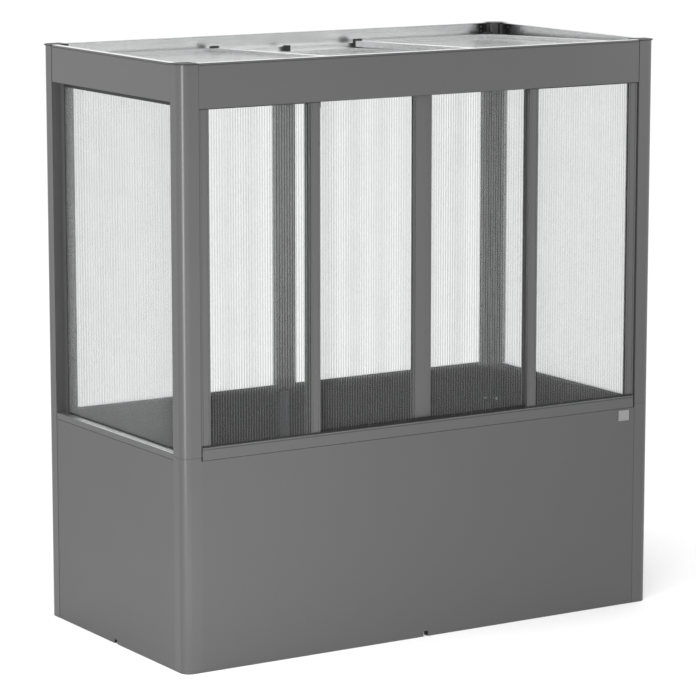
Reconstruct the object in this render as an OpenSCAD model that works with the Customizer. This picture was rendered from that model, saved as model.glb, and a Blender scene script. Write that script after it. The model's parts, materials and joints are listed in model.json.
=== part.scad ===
// Glazed cold frame on a metal planter base: four sliding front doors and
// three sliding roof panels. The origin is on the ground, under the middle.
// The doors face -Y, the long side lies along X and +Z is up.

/* [Overall size] */
// Width across the outer faces of the corner posts
width = 2000; // [1500:10:2400]
// Depth across the outer faces of the corner posts
depth = 1016; // [840:4:1240]
// Height from the ground to the top rim
height = 2120; // [1760:10:2550]

/* [Planter base] */
// Height of the planter base
base_h = 750; // [400:10:900]
// Thickness of the folded panel sheet
panel_t = 1.5; // [1:0.1:3]
// Width of the fold along the top and bottom of a panel
panel_fold = 25; // [18:1:32]
// How far panels, sills and fascias lie behind the post faces
panel_recess = 1; // [0.5:0.1:2]
// Width and height of the drain notch under each panel
notch_w = 20; // [10:1:30]
// Width of the badge plate
badge_w = 48; // [30:1:60]
// Height of the badge plate
badge_h = 40; // [20:1:44]
// Distance from the badge plate's middle to the post beside it
badge_in = 50; // [40:1:120]
// Distance from the badge plate's middle to the top of the base
badge_down = 26; // [24:1:120]
// Width of the spreader's uprights
spreader_w = 40; // [30:1:60]
// Height of one spreader bar
spreader_bar_h = 40; // [25:1:60]
// Thickness of one spreader bar
spreader_bar_t = 8; // [5:1:12]
// Wall of the spreader's upright tubes
spreader_wall = 2; // [1.5:0.1:4]

/* [Corner posts] */
// Length of each side of a corner post
post_leg = 71; // [66:1:90]
// Radius of the rounded outer corner of a post
post_r = 35; // [25:1:55]
// How far the lower posts stand above the base panels
post_over = 13; // [0:1:30]
// Wall thickness of a post
post_wall = 3; // [2:0.1:4]
// Distance from a post's outer face to the middle of its T slot
slot_c = 44; // [42:1:48]
// Width of the T slot's mouth
slot_mouth = 8; // [7:0.5:10]
// Width of the T slot's chamber
slot_w = 15; // [13:0.5:16]
// Depth of the T slot's chamber
slot_d = 6; // [5.6:0.1:8]
// Side of the square head of a slot bolt
bolt_head = 13; // [11:0.5:14]
// Radius of a slot bolt's shank
bolt_r = 3; // [2.5:0.5:3.5]
// Thickness of a slot bolt's head, and of its nut
bolt_head_t = 5; // [4:0.5:5.5]
// Radius of a nut, across its corners
nut_r = 6; // [5:0.5:6.5]
// Thickness of a post cap
cap_t = 4; // [2.5:0.5:8]
// How far a post cap stands over the post's outer faces
cap_over = 5; // [2:0.5:8]
// Length of the plug under a post cap
cap_plug = 12; // [8:1:20]

/* [Sills and fascias] */
// Height of the front sill that lies on the base
sill_h = 45; // [38:1:60]
// Height of the side and back sills that lie on the base
low_sill_h = 23; // [20:1:60]
// Height of the front fascia
fascia_front_h = 155; // [150:1:180]
// Height of the side and back fascias
fascia_side_h = 133; // [128:1:150]
// Width of the rim along the top of a fascia
rim_w = 27; // [15:1:30]
// Wall thickness of the extruded profiles
profile_t = 2.5; // [2:0.1:3]
// Thickness of a fascia's rim
rim_t = 3; // [2:0.5:5]
// Height of the roof shelf above a side fascia's lower edge
shelf_rise = 54; // [50:1:58]

/* [Corner brackets] */
// Length of a bracket's leg along the fascia
bracket_leg = 24; // [20:1:28]
// Length of a bracket's leg along the post
bracket_foot = 22; // [16:1:24]
// Thickness of a bracket
bracket_t = 4; // [3:0.5:5]
// Distance from a bracket's ends to its screws
screw_in = 9; // [7:0.5:12]
// Distance from a bracket's corner to its screws
screw_out = 14; // [12:0.5:16]
// Radius of a screw's shank
screw_r = 2.5; // [2:0.5:3]
// Radius of a screw's head
screw_head_r = 4.5; // [4:0.5:5]

/* [Fixed glazing] */
// Thickness of the twin-wall sheets
sheet_t = 8; // [6:0.5:10]
// Distance from one rib of a sheet to the next
rib_pitch = 10.5; // [8:0.5:16]
// Thickness of a sheet's ribs
rib_t = 0.5; // [0.4:0.1:1]
// Thickness of a sheet's two walls
wall_t = 0.6; // [0.4:0.1:1]
// Distance from the outer faces to the fixed sheets
sheet_inset = 37; // [32:1:42]
// Depth of the groove that holds a sheet
grip = 12; // [8:1:14]
// Width of the channel beside each post
channel_w = 26; // [25:1:45]
// Width of the mullion in the back wall
mullion_w = 70; // [50:1:90]

/* [Sliding doors] */
// Distance from the post faces to the outer doors
door_front = 6; // [5.5:0.5:8]
// Thickness of a door's frame
door_t = 14; // [14:1:24]
// Gap between the outer and the inner doors
door_gap = 14; // [5.5:0.5:16]
// Width of a door stile
stile_w = 38; // [30:1:46]
// Height of a door rail
rail_h = 24; // [18:1:28]
// How far an outer door covers the inner door beside it
door_lap = 39; // [30:1:50]
// Gap between a closed outer door and its post
jamb_gap = 4; // [2:0.5:6]
// Gap between the two inner doors
meet_gap = 2; // [1.5:0.5:4]
// Height of the track floor above the base
track_floor = 12; // [9:1:16]
// Height of the fin between the two tracks
track_fin = 13; // [8:1:16]
// Height of the fin behind the inner track
back_fin = 18; // [10:1:22]
// How far the head track's fins reach down
head_fin = 20; // [14:1:24]
// Height of the head track above the front fascia's lower edge
head_rise = 35; // [31:1:38]
// Height of the head track
head_h = 46; // [42:1:48]
// Gap between the doors and the head track
head_gap = 6; // [4:0.5:8]
// Width of the strip that covers the meeting stiles
strip_w = 43; // [35:1:50]
// Thickness of that strip
strip_t = 3; // [2:0.5:4]
// How far that strip passes the meeting line
strip_lap = 13; // [8:1:16]
// Width of the beads along the edges of a stile
bead_w = 3; // [2:0.5:4]
// Length of the feet and guides of a door
glider_l = 40; // [25:1:60]
// Width of the feet and guides of a door
glider_w = 10; // [10:1:16]
// Thickness of the bumper clip on an outer door
bumper_t = 3; // [2:0.5:4]

/* [Sliding roof] */
// Fall of the roof to the back, in degrees
roof_fall = 2; // [1:0.1:2.5]
// Depth of the roof's top below the rim, at mid depth
roof_drop = 27; // [26:1:34]
// Distance from the back face to the end of an upper roof panel
roof_edge = 43; // [40:1:48]
// How much shorter the middle panel is at each end
roof_step = 30; // [27:1:36]
// Height of a roof panel's bars
bar_h = 22; // [18:1:23]
// Width of the bars along a roof panel's sides
bar_w = 30; // [22:1:36]
// Width of the bars along a roof panel's ends
end_bar_w = 22; // [20:1:26]
// Gap between the upper panels and the middle panel below them
level_gap = 3; // [2.5:0.5:4]
// How far an upper panel covers the middle panel
roof_lap = 15; // [10:1:25]
// Gap between an outer roof panel and the posts
roof_gap = 2; // [1.5:0.5:4]
// Gap between an upper panel and the rail behind it
rail_gap = 3; // [2:0.5:4]
// Width of the rail's lower ledge
ledge_w = 27; // [20:1:30]
// Height of the gliding feet of doors and roof panels
glide = 3; // [2:0.5:3.5]

/* [Hidden] */
$fn = 64;
fit = 0.3;               // running gap under gliders and around sheets
hw = width / 2;
hd = depth / 2;
open_x = hw - post_leg;  // inner faces of the posts, left and right
open_y = hd - post_leg;  // inner faces of the posts, front and back
skin_x = hw - panel_recess;
skin_y = hd - panel_recess;
post_top = height - cap_t;
end_fold = slot_c + 14;  // width of a panel's end folds
slot_back = 2;           // wall round a slot's chamber
plug_gap = 1.5;
badge_t = 1.5;
bolt_heights = [0.16, 0.5, 0.84];
spreader_heights = [0.3, 0.7];

sill_z = base_h + sill_h;
low_sill_z = base_h + low_sill_h;
post_joint = base_h + post_over;
fascia_z = height - fascia_side_h;
fascia_front_z = height - fascia_front_h;
slot_t = sheet_t + 2 * fit;  // groove for a sheet
sheet_play = 0.5;            // room at the edges of a sheet in its grooves
fixed_in = sheet_inset + slot_t + profile_t;
shelf_z = fascia_z + shelf_rise;

// door planes, counted from the front face, and heights
outer_y = -hd + door_front;
inner_y = outer_y + door_t + door_gap;
track_back = inner_y + door_t + 1 + profile_t;
floor_z = base_h + track_floor;
door_z0 = floor_z + fit + glide;
head_z = fascia_front_z + head_rise;
head_top = head_z + head_h;
door_z1 = head_z - head_gap;
door_w = (2 * open_x - 2 * jamb_gap - meet_gap + 2 * door_lap) / 4;
door_x = [
    -open_x + jamb_gap,
    -meet_gap / 2 - door_w,
    meet_gap / 2,
    open_x - jamb_gap - door_w
];
door_y = [outer_y, inner_y, inner_y, outer_y];
fin_y = outer_y + door_t + door_gap / 2;
bead_depth = 2;          // depth of the grooves beside a stile's beads
glider_in = 5;           // distance from a door's ends to its feet
bumper_drop = 22;        // how far the bumper clip shows below the fascia
bumper_rise = 6;         // how far it goes up behind the fascia
stop_half = 12;          // half length of the door stop
stop_h = 12;             // height of the door stop
roof_stop_half = 8;      // half length of the roof stops
roof_stop_z = -4;        // top of the roof stops

// roof panels, in the tilted frame of the roof
roof_z = height - roof_drop;
roof_y = hd - roof_edge;
roof_y_low = roof_y - roof_step;
roof_w = (2 * open_x - 2 * roof_gap + 2 * roof_lap) / 3;
roof_low = -(bar_h + level_gap);
ledge_hi = -bar_h - glide - fit;
ledge_lo = roof_low + ledge_hi;
flange_z = -8;
cap_rise = 7;
cap_rise_low = 1;
sheet_up = 2;            // height of a roof sheet above its bars' lower faces
bar_grip = grip - 2.5;   // depth of the groove in a roof panel's bars

// lower and upper ends of the corner brackets, below the rim
bracket_front = height * [1, 1] - [66, 30];
bracket_back = height * [1, 1] - [44, 8];
bracket_side = height * [1, 1] - [70, 8];
screw_play = 0.1;        // room round a screw in its hole

C_METAL = [0.45, 0.45, 0.45];
C_MILL = [0.76, 0.77, 0.77];
C_SHEET = [0.90, 0.91, 0.91];
C_BLACK = [0.10, 0.10, 0.10];
C_STEEL = [0.62, 0.63, 0.64];
C_BADGE = [0.60, 0.60, 0.60];

// ---- helpers ----

// a box between two corners
module box(a, b) {
    translate(a) cube(b - a);
}

// a flat rectangle between two corners
module rect(a, b) {
    translate(a) square(b - a);
}

// extrudes a (Y, Z) outline along X, centred
module along_x(length) {
    rotate([90, 0, 90]) translate([0, 0, -length / 2]) linear_extrude(length) children();
}

// extrudes an (X, Z) outline along Y, centred
module along_y(length) {
    rotate([90, 0, 0]) translate([0, 0, -length / 2]) linear_extrude(length) children();
}

// places what is drawn for the front left corner at any corner
module corner(sx, sy) {
    mirror([sx > 0 ? 1 : 0, 0, 0]) mirror([0, sy > 0 ? 1 : 0, 0])
        translate([-hw, -hd, 0]) children();
}

// a twin-wall sheet seen along its ribs, from the origin
module twin_wall(w) {
    cells = floor((w - rib_t) / rib_pitch);
    first = (w - cells * rib_pitch - rib_t) / 2;
    difference() {
        square([w, sheet_t]);
        for (i = [0 : cells - 1])
            translate([first + rib_t + i * rib_pitch, wall_t])
                square([rib_pitch - rib_t, sheet_t - 2 * wall_t]);
    }
}

// the tilted frame of the roof
module roof_frame() {
    translate([0, 0, roof_z]) rotate([-roof_fall, 0, 0]) children();
}

// ---- planter base ----

// a sheet folded in on all four edges; its face is at y = 0 and it spans x
module folded_panel(length, bolt_y) {
    difference() {
        union() {
            box([-length / 2, 0, 0], [length / 2, panel_t, base_h]);
            for (z = [0, base_h - panel_t])
                box([-length / 2, 0, z], [length / 2, panel_fold, z + panel_t]);
            for (s = [0, 1])
                translate([s * (length - panel_t), 0, 0])
                    box([-length / 2, 0, 0], [-length / 2 + panel_t, end_fold - panel_recess, base_h]);
        }
        box([-notch_w / 2, -1, -1], [notch_w / 2, panel_fold + 1, notch_w]);
        for (k = bolt_heights)
            translate([0, bolt_y, k * base_h]) rotate([0, 90, 0])
                cylinder(r = bolt_r + fit, h = length + 2, center = true);
    }
}

module front_back_panel(sy) {
    color(C_METAL) rotate([0, 0, sy > 0 ? 180 : 0]) translate([0, -skin_y, 0])
        folded_panel(2 * open_x, slot_c - panel_recess);
}

module side_panel(sx) {
    color(C_METAL) rotate([0, 0, 90 * sx]) translate([0, -skin_x, 0])
        folded_panel(2 * open_y, slot_c - panel_recess);
}

// two upright tubes behind the long panels, joined by two flat bars
module spreader() {
    foot_y = skin_y - panel_t;
    tube_y = foot_y - panel_fold;
    color(C_STEEL) {
        for (s = [0, 1]) mirror([0, s, 0]) difference() {
            box([-spreader_w / 2, tube_y, panel_t], [spreader_w / 2, foot_y, base_h - panel_t]);
            box([-spreader_w / 2 + spreader_wall, tube_y + spreader_wall, panel_t - 1],
                [spreader_w / 2 - spreader_wall, foot_y - spreader_wall, base_h]);
            box([-notch_w / 2, tube_y - 1, 0], [notch_w / 2, foot_y + 1, notch_w]);
        }
        for (z = spreader_heights * base_h)
            box([-spreader_bar_t / 2, -tube_y - 1, z],
                [spreader_bar_t / 2, tube_y + 1, z + spreader_bar_h]);
    }
}

module badge() {
    bx = open_x - badge_in;
    bz = base_h - badge_down;
    color(C_BADGE) box([bx - badge_w / 2, -skin_y - badge_t, bz - badge_h / 2],
        [bx + badge_w / 2, -skin_y, bz + badge_h / 2]);
}

// ---- corner posts ----

// a square with one corner rounded, at the origin
module post_outline(leg, r) {
    difference() {
        square(leg);
        difference() {
            rect([-1, -1], [r, r]);
            translate([r, r]) circle(r = r);
        }
    }
}

// a rectangle beside the face at x = post_leg, or beside the one at y = post_leg
module slot_rect(turned, a, b) {
    rect(turned ? [a.y, a.x] : a, turned ? [b.y, b.x] : b);
}

// the walls of one T slot
module slot_walls(turned) {
    slot_rect(turned, [post_leg - post_wall - slot_d - slot_back, slot_c - slot_w / 2 - slot_back],
        [post_leg, slot_c + slot_w / 2 + slot_back]);
}

// the hollow of one T slot
module slot_hollow(turned) {
    slot_rect(turned, [post_leg - post_wall - slot_d, slot_c - slot_w / 2],
        [post_leg - post_wall, slot_c + slot_w / 2]);
    slot_rect(turned, [post_leg - post_wall - 1, slot_c - slot_mouth / 2],
        [post_leg + 1, slot_c + slot_mouth / 2]);
}

module post_section() {
    difference() {
        union() {
            difference() {
                post_outline(post_leg, post_r);
                translate([post_wall, post_wall])
                    post_outline(post_leg - 2 * post_wall, post_r - post_wall);
            }
            for (turned = [false, true]) slot_walls(turned);
        }
        for (turned = [false, true]) slot_hollow(turned);
    }
}

module post(sx, sy, z0, z1) {
    color(C_METAL) corner(sx, sy) translate([0, 0, z0])
        linear_extrude(z1 - z0) post_section();
}

module caps() {
    plug_lo = post_r - (post_r - post_wall) / sqrt(2) + plug_gap;
    plug_hi = post_leg - post_wall - slot_d - slot_back - plug_gap;
    color(C_BLACK) for (sx = [-1, 1], sy = [-1, 1]) corner(sx, sy) {
        translate([-cap_over, -cap_over, post_top]) linear_extrude(cap_t)
            post_outline(post_leg + cap_over, post_r + cap_over);
        box([plug_lo, plug_lo, post_top - cap_plug], [plug_hi, plug_hi, post_top + 1]);
    }
}

// ---- sills and fascias ----

// (y, z) outline of the front sill with its two door tracks
module front_sill_section() {
    difference() {
        rect([-skin_y, base_h], [track_back, floor_z]);
        rect([-skin_y + profile_t, base_h + profile_t], [track_back - profile_t, floor_z - profile_t]);
    }
    rect([-skin_y, base_h], [-skin_y + profile_t, sill_z]);
    rect([fin_y - profile_t / 2, floor_z - 1], [fin_y + profile_t / 2, floor_z + track_fin]);
    rect([track_back - profile_t, floor_z - 1], [track_back, floor_z + back_fin]);
}

// outline of a fixed wall's sill: x runs in from the outer face, y is height
module fixed_sill_section() {
    difference() {
        rect([panel_recess, base_h], [fixed_in, low_sill_z]);
        rect([panel_recess + profile_t, base_h + profile_t],
             [sheet_inset - profile_t, low_sill_z - profile_t]);
        rect([sheet_inset, low_sill_z - grip], [sheet_inset + slot_t, low_sill_z + 1]);
        rect([sheet_inset, base_h + profile_t],
             [sheet_inset + slot_t, low_sill_z - grip - profile_t]);
    }
}

// outline of a fixed wall's fascia, drawn as the sill is
module fixed_fascia_section(shelf_to) {
    rect([panel_recess, fascia_z], [panel_recess + profile_t, height]);
    rect([panel_recess, height - rim_t], [rim_w, height]);
    rect([panel_recess, fascia_z], [sheet_inset, fascia_z + profile_t]);
    rect([sheet_inset - profile_t, fascia_z], [sheet_inset, fascia_z + grip]);
    rect([sheet_inset + slot_t, fascia_z], [fixed_in, shelf_z + profile_t]);
    rect([panel_recess, shelf_z], [shelf_to, shelf_z + profile_t]);
}

// places a fixed wall's section along the left, right or back wall
module on_side(sx) {
    mirror([sx > 0 ? 1 : 0, 0, 0]) along_y(2 * open_y) translate([-hw, 0]) children();
}

module on_back() {
    along_x(2 * open_x) mirror([1, 0]) translate([-hd, 0]) children();
}

module front_fascia_part() {
    color(C_METAL) along_x(2 * open_x) {
        rect([-skin_y, fascia_front_z], [-skin_y + profile_t, height]);
        rect([-skin_y, height - rim_t], [-hd + rim_w, height]);
    }
}

// ---- fixed glazing ----

module side_sheet(sx) {
    x0 = sheet_inset + fit;
    y0 = open_y - channel_w + grip - sheet_play;
    z0 = low_sill_z - grip + fit;
    color(C_SHEET) mirror([sx > 0 ? 1 : 0, 0, 0]) translate([-hw + x0 + sheet_t, -y0, z0])
        rotate([0, 0, 90]) linear_extrude(fascia_z + grip - z0) twin_wall(2 * y0);
}

module back_sheet(sx) {
    x0 = mullion_w / 2 - grip + sheet_play;
    x1 = open_x - channel_w + grip - sheet_play;
    z0 = low_sill_z - grip + fit;
    color(C_SHEET) mirror([sx < 0 ? 1 : 0, 0, 0])
        translate([x0, hd - sheet_inset - fit - sheet_t, z0])
            linear_extrude(fascia_z + grip - z0) twin_wall(x1 - x0);
}

module mullion() {
    color(C_METAL) translate([0, 0, low_sill_z]) linear_extrude(fascia_z - low_sill_z) difference() {
        rect([-mullion_w / 2, hd - fixed_in], [mullion_w / 2, skin_y]);
        for (s = [0, 1]) mirror([s, 0])
            rect([mullion_w / 2 - grip, hd - sheet_inset - slot_t],
                 [mullion_w / 2 + 1, hd - sheet_inset]);
        rect([-mullion_w / 2 + profile_t, hd - sheet_inset + profile_t],
             [mullion_w / 2 - profile_t, skin_y - profile_t]);
        rect([-mullion_w / 2 + grip + profile_t, hd - fixed_in + profile_t],
             [mullion_w / 2 - grip - profile_t, hd - sheet_inset - 1]);
    }
}

// (depth from face, distance from post) outline of the channel beside a post
module channel_section() {
    t = profile_t;
    difference() {
        rect([sheet_inset - t, 0], [fixed_in, channel_w]);
        rect([sheet_inset, channel_w - grip], [sheet_inset + slot_t, channel_w + 1]);
        rect([sheet_inset, t], [sheet_inset + slot_t, channel_w - grip - t]);
    }
}

module channels() {
    color(C_METAL) translate([0, 0, low_sill_z]) linear_extrude(fascia_z - low_sill_z) {
        for (sx = [0, 1], sy = [0, 1])
            mirror([sx, 0]) mirror([0, sy]) translate([-hw, -open_y]) channel_section();
        for (sx = [0, 1])
            mirror([sx, 0]) translate([-open_x, hd]) rotate(-90) channel_section();
    }
}

// ---- door head track and small parts ----

module head_track() {
    face = -skin_y + profile_t;
    color(C_MILL) along_x(2 * open_x) {
        difference() {
            rect([face, head_z], [track_back, head_top]);
            rect([face + profile_t, head_z + profile_t],
                 [track_back - profile_t, head_top - profile_t]);
        }
        rect([fin_y - profile_t / 2, head_z - head_fin], [fin_y + profile_t / 2, head_z + 1]);
        rect([track_back - profile_t, head_z - head_fin], [track_back, head_z + 1]);
    }
}

// an angle between the inner face of a fascia and a post, at its own corner
module angle_bracket(z0, z1) {
    difference() {
        union() {
            box([0, 0, z0], [bracket_leg, bracket_t, z1]);
            box([0, 0, z0], [bracket_t, bracket_foot, z1]);
        }
        for (z = [z0 + screw_in, z1 - screw_in])
            translate([screw_out, -1, z]) rotate([-90, 0, 0])
                cylinder(r = screw_r + screw_play, h = bracket_t + 2);
    }
}

// places an angle bracket at each upper corner, on the front or back wall
module at_front_back(sx, sy) {
    mirror([sx > 0 ? 1 : 0, 0, 0]) mirror([0, sy > 0 ? 1 : 0, 0])
        translate([-open_x, -skin_y + profile_t, 0]) children();
}

// places an angle bracket at each upper corner, on a side wall
module at_side(sx, sy) {
    mirror([sx > 0 ? 1 : 0, 0, 0]) mirror([0, sy > 0 ? 1 : 0, 0])
        translate([-skin_x + profile_t, -open_y, 0]) mirror([1, -1, 0]) children();
}

module brackets() {
    color(C_BLACK) for (sx = [-1, 1]) {
        at_front_back(sx, -1) angle_bracket(bracket_front[0], bracket_front[1]);
        at_front_back(sx, 1) angle_bracket(bracket_back[0], bracket_back[1]);
        for (sy = [-1, 1])
            at_side(sx, sy) angle_bracket(bracket_side[0], bracket_side[1]);
    }
}

// a round-headed screw in each hole of an angle bracket
module bracket_screws(z0, z1) {
    for (z = [z0 + screw_in, z1 - screw_in])
        translate([screw_out, 0, z]) rotate([-90, 0, 0]) {
            cylinder(r = screw_r, h = bracket_t + 1);
            translate([0, 0, bracket_t]) cylinder(r = screw_head_r, h = screw_r);
        }
}

// a T bolt with its nut: the head lies in the slot, the nut inside the bed
module tee_bolt() {
    rotate([0, 90, 0]) {
        translate([-bolt_head / 2, -bolt_head / 2, -post_wall - bolt_head_t])
            cube([bolt_head, bolt_head, bolt_head_t]);
        translate([0, 0, -post_wall - 1])
            cylinder(r = bolt_r, h = post_wall + panel_t + bolt_head_t + bolt_r + 1);
        translate([0, 0, panel_t]) cylinder(r = nut_r, h = bolt_head_t, $fn = 6);
    }
}

module bolts() {
    color(C_STEEL) {
        for (sx = [0, 1], sy = [0, 1], k = bolt_heights)
            mirror([sx, 0, 0]) mirror([0, sy, 0]) {
                translate([-open_x, -hd + slot_c, k * base_h]) tee_bolt();
                translate([-hw + slot_c, -open_y, k * base_h]) rotate([0, 0, 90]) tee_bolt();
            }
        for (sx = [-1, 1]) {
            at_front_back(sx, -1) bracket_screws(bracket_front[0], bracket_front[1]);
            at_front_back(sx, 1) bracket_screws(bracket_back[0], bracket_back[1]);
            for (sy = [-1, 1])
                at_side(sx, sy) bracket_screws(bracket_side[0], bracket_side[1]);
        }
    }
}

// ---- roof rails ----

// (y, z) outline of the stepped rail at the back, in the roof's frame
module roof_rail_section(flange_end) {
    t = profile_t;
    riser = roof_y + rail_gap;
    inner = roof_y_low - ledge_w;
    rect([roof_y_low + t, ledge_hi - t], [riser + t, ledge_hi]);
    rect([roof_y_low + t, ledge_lo - t], [roof_y_low + 2 * t, ledge_hi]);
    rect([inner, ledge_lo - t], [roof_y_low + 2 * t, ledge_lo]);
    rect([inner, ledge_lo - t], [inner + t, ledge_lo + glide - 1]);
    rect([riser, ledge_hi - t], [riser + t, flange_z]);
    rect([riser, flange_z - t], [flange_end, flange_z]);
}

// where the rail's flange ends, 0.3 mm from the inner face of a fascia
function flange_end(sy) = (skin_y - profile_t - fit - sy * flange_z * sin(roof_fall)
    - profile_t * sin(roof_fall)) / cos(roof_fall);

module roof_rail(sy) {
    color(C_MILL) roof_frame() mirror([0, sy < 0 ? 1 : 0, 0])
        along_x(2 * open_x) roof_rail_section(flange_end(sy));
}

module stops() {
    lip = -skin_y + profile_t;
    color(C_BLACK) {
        box([-stop_half, lip, floor_z], [stop_half, outer_y + door_t, floor_z + stop_h]);
        roof_frame() for (s = [0, 1]) mirror([0, s, 0])
            box([-roof_stop_half, roof_y_low + 2 * profile_t, ledge_hi],
                [roof_stop_half, roof_y + rail_gap, roof_stop_z]);
    }
}

// ---- sliding doors ----

// one stile seen from above, its sheet groove opening at x = stile_w
module stile_section() {
    difference() {
        square([stile_w, door_t]);
        rect([stile_w - grip, door_t / 2 - slot_t / 2], [stile_w + 1, door_t / 2 + slot_t / 2]);
        rect([2 * bead_w, -1], [3 * bead_w, bead_depth]);
        rect([stile_w - 3 * bead_w, -1], [stile_w - 2 * bead_w, bead_depth]);
        rect([profile_t, bead_depth + profile_t],
            [stile_w - grip - profile_t, door_t - profile_t]);
    }
}

module stiles(n) {
    color(C_METAL) translate([door_x[n], door_y[n], door_z0]) {
        linear_extrude(door_z1 - door_z0) {
            stile_section();
            translate([door_w, 0]) mirror([1, 0]) stile_section();
        }
    }
}

// the strip on door 2 that covers the gap to door 3
module strip() {
    back = inner_y - fit;
    color(C_METAL) box([strip_lap - strip_w, back - strip_t, floor_z + track_fin + head_gap],
        [strip_lap, back, head_z - head_fin - head_gap]);
}

module door_2_stiles() {
    stiles(1);
    strip();
}

// (y, z) outline of a rail, its groove opening upwards at z = rail_h
module rail_section() {
    difference() {
        square([door_t, rail_h]);
        rect([door_t / 2 - slot_t / 2, rail_h - grip], [door_t / 2 + slot_t / 2, rail_h + 1]);
        rect([profile_t, profile_t], [door_t - profile_t, rail_h - grip - profile_t]);
    }
}

module rails(n) {
    color(C_METAL) translate([door_x[n] + door_w / 2, door_y[n], 0]) {
        translate([0, 0, door_z0]) along_x(door_w - 2 * stile_w) rail_section();
        translate([0, 0, door_z1]) mirror([0, 0, 1]) along_x(door_w - 2 * stile_w) rail_section();
    }
}

module door_sheet(n) {
    in_x = stile_w - grip + sheet_play;
    in_z = rail_h - grip + sheet_play;
    y0 = door_y[n] + door_t / 2 - sheet_t / 2;
    color(C_SHEET) translate([door_x[n] + in_x, y0, door_z0 + in_z])
        linear_extrude(door_z1 - door_z0 - 2 * in_z) twin_wall(door_w - 2 * in_x);
}

// feet under a door, guides on its top, and the bumper clip of an outer door
module gliders(n) {
    mid = door_y[n] + door_t / 2;
    color(C_BLACK) {
        for (x = [door_x[n] + glider_in, door_x[n] + door_w - glider_in - glider_l]) {
            box([x, mid - glider_w / 2, floor_z + fit], [x + glider_l, mid + glider_w / 2, door_z0]);
            box([x, mid - glider_w / 2, door_z1], [x + glider_l, mid + glider_w / 2, head_z - 1]);
        }
        if (n == 0) bumper(door_x[0] + door_w);
        if (n == 3) bumper(door_x[3] - bumper_t);
    }
}

// a clip on the edge of an outer door's inner stile, at the fascia's lower edge
module bumper(x) {
    box([x, outer_y, fascia_front_z - bumper_drop],
        [x + bumper_t, outer_y + door_t / 2, fascia_front_z + bumper_rise]);
}

// ---- sliding roof panels ----

// the sizes of a roof panel: left edge, half depth and level of its top
function panel_left(k) = k == 0 ? -open_x + roof_gap : k == 1 ? -roof_w / 2 : open_x - roof_gap - roof_w;
function panel_half(k) = k == 1 ? roof_y_low : roof_y;
function panel_top(k) = k == 1 ? roof_low : 0;
function panel_cap_rise(k) = k == 1 ? cap_rise_low : cap_rise;

// corners of a roof sheet
function sheet_lo(k) = [
    panel_left(k) + bar_w - bar_grip + sheet_play,
    -panel_half(k) + end_bar_w - bar_grip + sheet_play,
    panel_top(k) - bar_h + sheet_up
];
function sheet_hi(k) = [
    panel_left(k) + roof_w - bar_w + bar_grip - sheet_play,
    panel_half(k) - end_bar_w + bar_grip - sheet_play,
    panel_top(k) - bar_h + sheet_up + sheet_t
];

// the space that a roof sheet needs in its panel's bars
module sheet_space(k) {
    box(sheet_lo(k) - [fit, fit, fit], sheet_hi(k) + [fit, fit, fit]);
}

// bars between the corners of a roof panel, drawn in by wall on each side and in by the
// sheet's groove as well where wall isn't 0, and longer by ends at both ends
module bar_set(k, wall, ends) {
    x0 = panel_left(k);
    x1 = x0 + bar_w;
    x2 = x0 + roof_w - bar_w;
    x3 = x0 + roof_w;
    yh = panel_half(k);
    y1 = yh - end_bar_w;
    z0 = panel_top(k) - bar_h + wall;
    z1 = panel_top(k) - wall;
    inner = wall > 0 ? bar_grip + wall : 0;
    box([x0 + wall, -y1 - ends, z0], [x1 - inner, y1 + ends, z1]);
    box([x2 + inner, -y1 - ends, z0], [x3 - wall, y1 + ends, z1]);
    box([x1 - ends, -yh + wall, z0], [x2 + ends, -y1 - inner, z1]);
    box([x1 - ends, y1 + inner, z0], [x2 + ends, yh - wall, z1]);
}

module roof_bars(k) {
    color(C_MILL) roof_frame() difference() {
        bar_set(k, 0, 0);
        bar_set(k, profile_t, 1);
        sheet_space(k);
    }
}

module roof_sheet(k) {
    color(C_SHEET) roof_frame() translate([sheet_lo(k).x, 0, sheet_lo(k).z])
        rotate([90, 0, 0]) linear_extrude(2 * sheet_hi(k).y, center = true)
            twin_wall(sheet_hi(k).x - sheet_lo(k).x);
}

module roof_caps(k) {
    x0 = panel_left(k);
    yh = panel_half(k);
    zt = panel_top(k);
    color(C_BLACK) roof_frame() difference() {
        for (x = [x0, x0 + roof_w - bar_w], y = [-yh, yh - end_bar_w])
            box([x, y, zt - bar_h - glide], [x + bar_w, y + end_bar_w, zt + panel_cap_rise(k)]);
        sheet_space(k);
    }
}

// ---- the nodes ----

front_back_panel(-1);  // base_front_panel
front_back_panel(1);  // base_back_panel
side_panel(-1);  // base_left_panel
side_panel(1);  // base_right_panel
post(-1, -1, 0, post_joint);  // base_post_front_left
post(1, -1, 0, post_joint);  // base_post_front_right
post(-1, 1, 0, post_joint);  // base_post_back_left
post(1, 1, 0, post_joint);  // base_post_back_right
spreader();  // base_spreader
badge();  // badge_plate
color(C_METAL) along_x(2 * (open_x - jamb_gap)) front_sill_section();  // front_sill
color(C_METAL) on_back() fixed_sill_section();  // back_sill
color(C_METAL) on_side(-1) fixed_sill_section();  // left_sill
color(C_METAL) on_side(1) fixed_sill_section();  // right_sill
post(-1, -1, post_joint, post_top);  // post_front_left
post(1, -1, post_joint, post_top);  // post_front_right
post(-1, 1, post_joint, post_top);  // post_back_left
post(1, 1, post_joint, post_top);  // post_back_right
caps();  // post_caps
front_fascia_part();  // front_fascia
color(C_METAL) on_back() fixed_fascia_section(fixed_in);  // back_fascia
color(C_METAL) on_side(-1) fixed_fascia_section(post_leg - roof_gap);  // left_fascia
color(C_METAL) on_side(1) fixed_fascia_section(post_leg - roof_gap);  // right_fascia
mullion();  // back_mullion
head_track();  // door_head_track
brackets();  // corner_brackets
bolts();  // frame_bolts
side_sheet(-1);  // left_sheet
side_sheet(1);  // right_sheet
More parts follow.
